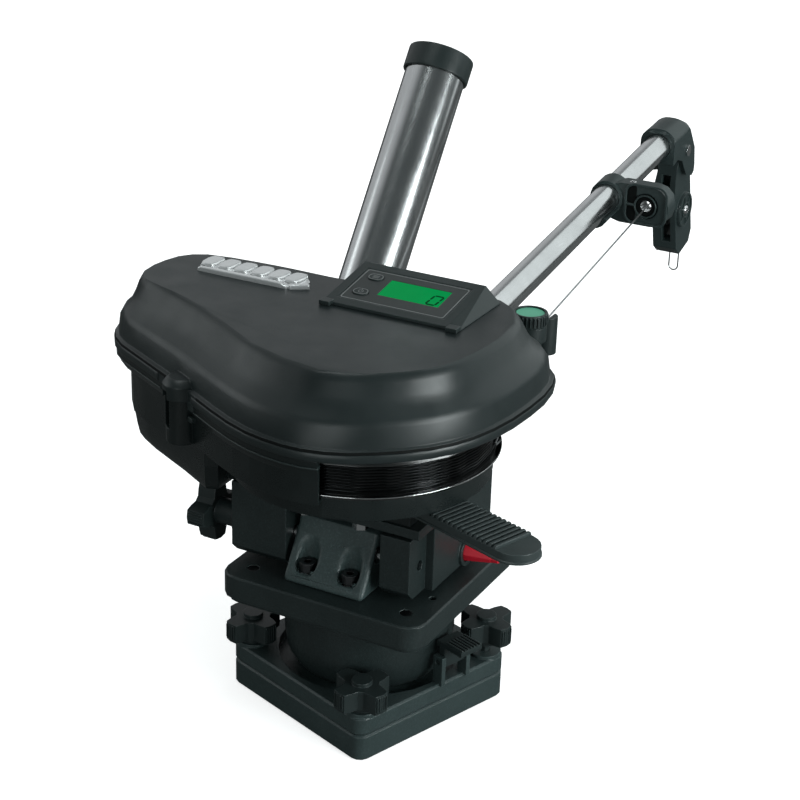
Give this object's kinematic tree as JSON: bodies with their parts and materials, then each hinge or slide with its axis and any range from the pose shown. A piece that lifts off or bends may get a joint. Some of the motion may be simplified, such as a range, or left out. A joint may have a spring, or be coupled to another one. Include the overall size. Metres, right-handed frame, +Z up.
{
  "type": "downrigger",
  "caption": "Electric boat downrigger on a swivelling, tilting base, with a boom, a hanging pulley head, a tube rod holder and a counter display",
  "frame": {"origin": "middle of the mounting plate's underside, on the swivel axis", "axes": "+Z up, +Y outboard along the boom as it stands at rest, +X to the right of someone looking outboard, the side with the display's buttons facing up and the tilt lock"},
  "size_m": [0.4126, 0.7352, 0.4806],
  "materials": {
    "blackPlastic": "satin",
    "blackSteel": "blackened",
    "board": "satin",
    "brass": "machined",
    "brightSteel": "polished",
    "cable": "stranded",
    "coverPlastic": "satin",
    "darkPlastic": "matte, fine grain",
    "friction": "matte",
    "gearPlastic": "moulded",
    "glowGreen": "lit",
    "mint": "satin",
    "panel": "matte",
    "red": "satin",
    "spoolPlastic": "polished rims",
    "steel": "polished tube"
  },
  "bodies": {
    "base": {"mounting_plate": "darkPlastic", "swivel_base": "darkPlastic", "swivel_post": "steel"},
    "knob_front": {"base_knob_front": "blackPlastic"},
    "knob_right": {"base_knob_right": "blackPlastic"},
    "knob_rear": {"base_knob_rear": "blackPlastic"},
    "knob_left": {"base_knob_left": "blackPlastic"},
    "lock_tab": {"swivel_lock_tab": "blackPlastic"},
    "turret": {"turret_bowl": "darkPlastic", "turret_plate": "darkPlastic", "turret_screw_front_left": "blackSteel", "turret_screw_front_right": "blackSteel", "turret_screw_rear_right": "blackSteel", "turret_screw_rear_left": "blackSteel", "tilt_knuckle": "darkPlastic", "knuckle_bolt_left": "brightSteel", "knuckle_bolt_right": "brightSteel", "tilt_lock_bracket": "blackSteel"},
    "frame": {"tilt_frame": "darkPlastic", "frame_bolt_left": "brightSteel", "frame_bolt_right": "brightSteel", "tilt_rod": "brightSteel", "tilt_washer": "blackSteel", "housing_tub": "darkPlastic", "power_socket": "blackPlastic", "cover_shell": "coverPlastic", "reel_shaft": "steel", "motor": "steel", "display_bezel": "blackPlastic", "display_panel": "panel", "display_screen": "glowGreen", "circuit_board": "board", "boom_socket": "blackPlastic", "boom_tube": "steel", "boom_bracket": "blackPlastic", "fairlead_ring": "steel", "nose_cap": "blackPlastic", "nose_screw": "blackSteel", "running_line": "cable", "rod_holder_socket": "blackPlastic", "rod_holder_tube": "steel", "rod_holder_ring": "blackPlastic"},
    "knob_tilt": {"tilt_knob": "blackPlastic"},
    "plunger": {"tilt_lock_plunger": "red"},
    "reel": {"spool": "spoolPlastic", "wound_line": "cable", "clutch_disc": "friction", "drive_gear": "gearPlastic", "reel_bearing": "brightSteel"},
    "idler": {"idler_gear": "gearPlastic"},
    "pinion": {"motor_pinion": "brass"},
    "lever": {"clutch_lever": "blackPlastic"},
    "button_power": {"power_button": "blackPlastic"},
    "button_mode": {"mode_button": "blackPlastic"},
    "boom_lock": {"boom_lock_knob": "blackPlastic", "boom_lock_cap": "mint"},
    "head": {"pulley_head": "blackPlastic", "wire_loop": "brightSteel"},
    "wheel": {"pulley_wheel": "panel"}
  },
  "joints": [
    {"name": "turn_knob_front", "type": "hinge", "parent": "base", "child": "knob_front", "pos_m": [0.04048, -0.0841, 0.03], "axis": [0, 0, 1], "continuous": true},
    {"name": "turn_knob_right", "type": "hinge", "parent": "base", "child": "knob_right", "pos_m": [0.0841, 0.04048, 0.038], "axis": [0, 0, 1], "continuous": true},
    {"name": "turn_knob_rear", "type": "hinge", "parent": "base", "child": "knob_rear", "pos_m": [-0.04048, 0.0841, 0.03], "axis": [0, 0, 1], "continuous": true},
    {"name": "turn_knob_left", "type": "hinge", "parent": "base", "child": "knob_left", "pos_m": [-0.0841, -0.04048, 0.03], "axis": [0, 0, 1], "continuous": true},
    {"name": "press_lock_tab", "type": "hinge", "parent": "base", "child": "lock_tab", "pos_m": [0.07801, -0.00719, 0.056], "axis": [0.3305, 0.9438, 0], "range_deg": [0, 8], "stiffness_Nm_per_rad": 3},
    {"name": "swivel", "type": "hinge", "parent": "base", "child": "turret", "pos_m": [0, 0, 0.06], "axis": [0, 0, 1], "continuous": true},
    {"name": "tilt_boom", "type": "hinge", "parent": "turret", "child": "frame", "pos_m": [0, -0.045, 0.15], "axis": [1, 0, 0], "range_deg": [0, 75]},
    {"name": "turn_knob_tilt", "type": "hinge", "parent": "frame", "child": "knob_tilt", "pos_m": [-0.112, -0.045, 0.15], "axis": [1, 0, 0], "continuous": true},
    {"name": "pull_tilt_lock", "type": "slide", "parent": "frame", "child": "plunger", "axis": [1, 0, 0], "range_m": [0, 0.006], "stiffness_N_per_m": 900},
    {"name": "turn_reel", "type": "hinge", "parent": "frame", "child": "reel", "pos_m": [0.0005, -0.02, 0.243], "axis": [0, 0, 1], "continuous": true},
    {"name": "turn_idler", "type": "hinge", "parent": "frame", "child": "idler", "pos_m": [-0.11438, 0.01468, 0.265], "axis": [0, 0, 1], "continuous": true},
    {"name": "turn_pinion", "type": "hinge", "parent": "frame", "child": "pinion", "pos_m": [-0.15746, 0.02769, 0.265], "axis": [0, 0, 1], "continuous": true},
    {"name": "swing_clutch_lever", "type": "hinge", "parent": "frame", "child": "lever", "pos_m": [0.0005, -0.02, 0.205], "axis": [0, 0, 1], "range_deg": [-12, 12]},
    {"name": "press_power", "type": "slide", "parent": "frame", "child": "button_power", "axis": [0, 0.177, -0.9842], "range_m": [0, 0.001], "stiffness_N_per_m": 900},
    {"name": "press_mode", "type": "slide", "parent": "frame", "child": "button_mode", "axis": [0, 0.177, -0.9842], "range_m": [0, 0.001], "stiffness_N_per_m": 900},
    {"name": "turn_boom_lock", "type": "hinge", "parent": "frame", "child": "boom_lock", "pos_m": [0.062, 0.143, 0.28], "axis": [0, 0, 1], "continuous": true},
    {"name": "swing_head", "type": "hinge", "parent": "frame", "child": "head", "pos_m": [0.0235, 0.552, 0.325], "axis": [1, 0, 0], "range_deg": [-30, 34], "deforming": ["running_line"]},
    {"name": "turn_wheel", "type": "hinge", "parent": "head", "child": "wheel", "pos_m": [0.025, 0.56978, 0.25936], "axis": [1, 0, 0], "continuous": true}
  ],
  "couplings": [
    {"joint": "turn_idler", "follows": "turn_reel", "ratio": -3},
    {"joint": "turn_pinion", "follows": "turn_reel", "ratio": 6},
    {"joint": "turn_wheel", "follows": "turn_reel", "ratio": -6.0923}
  ]
}
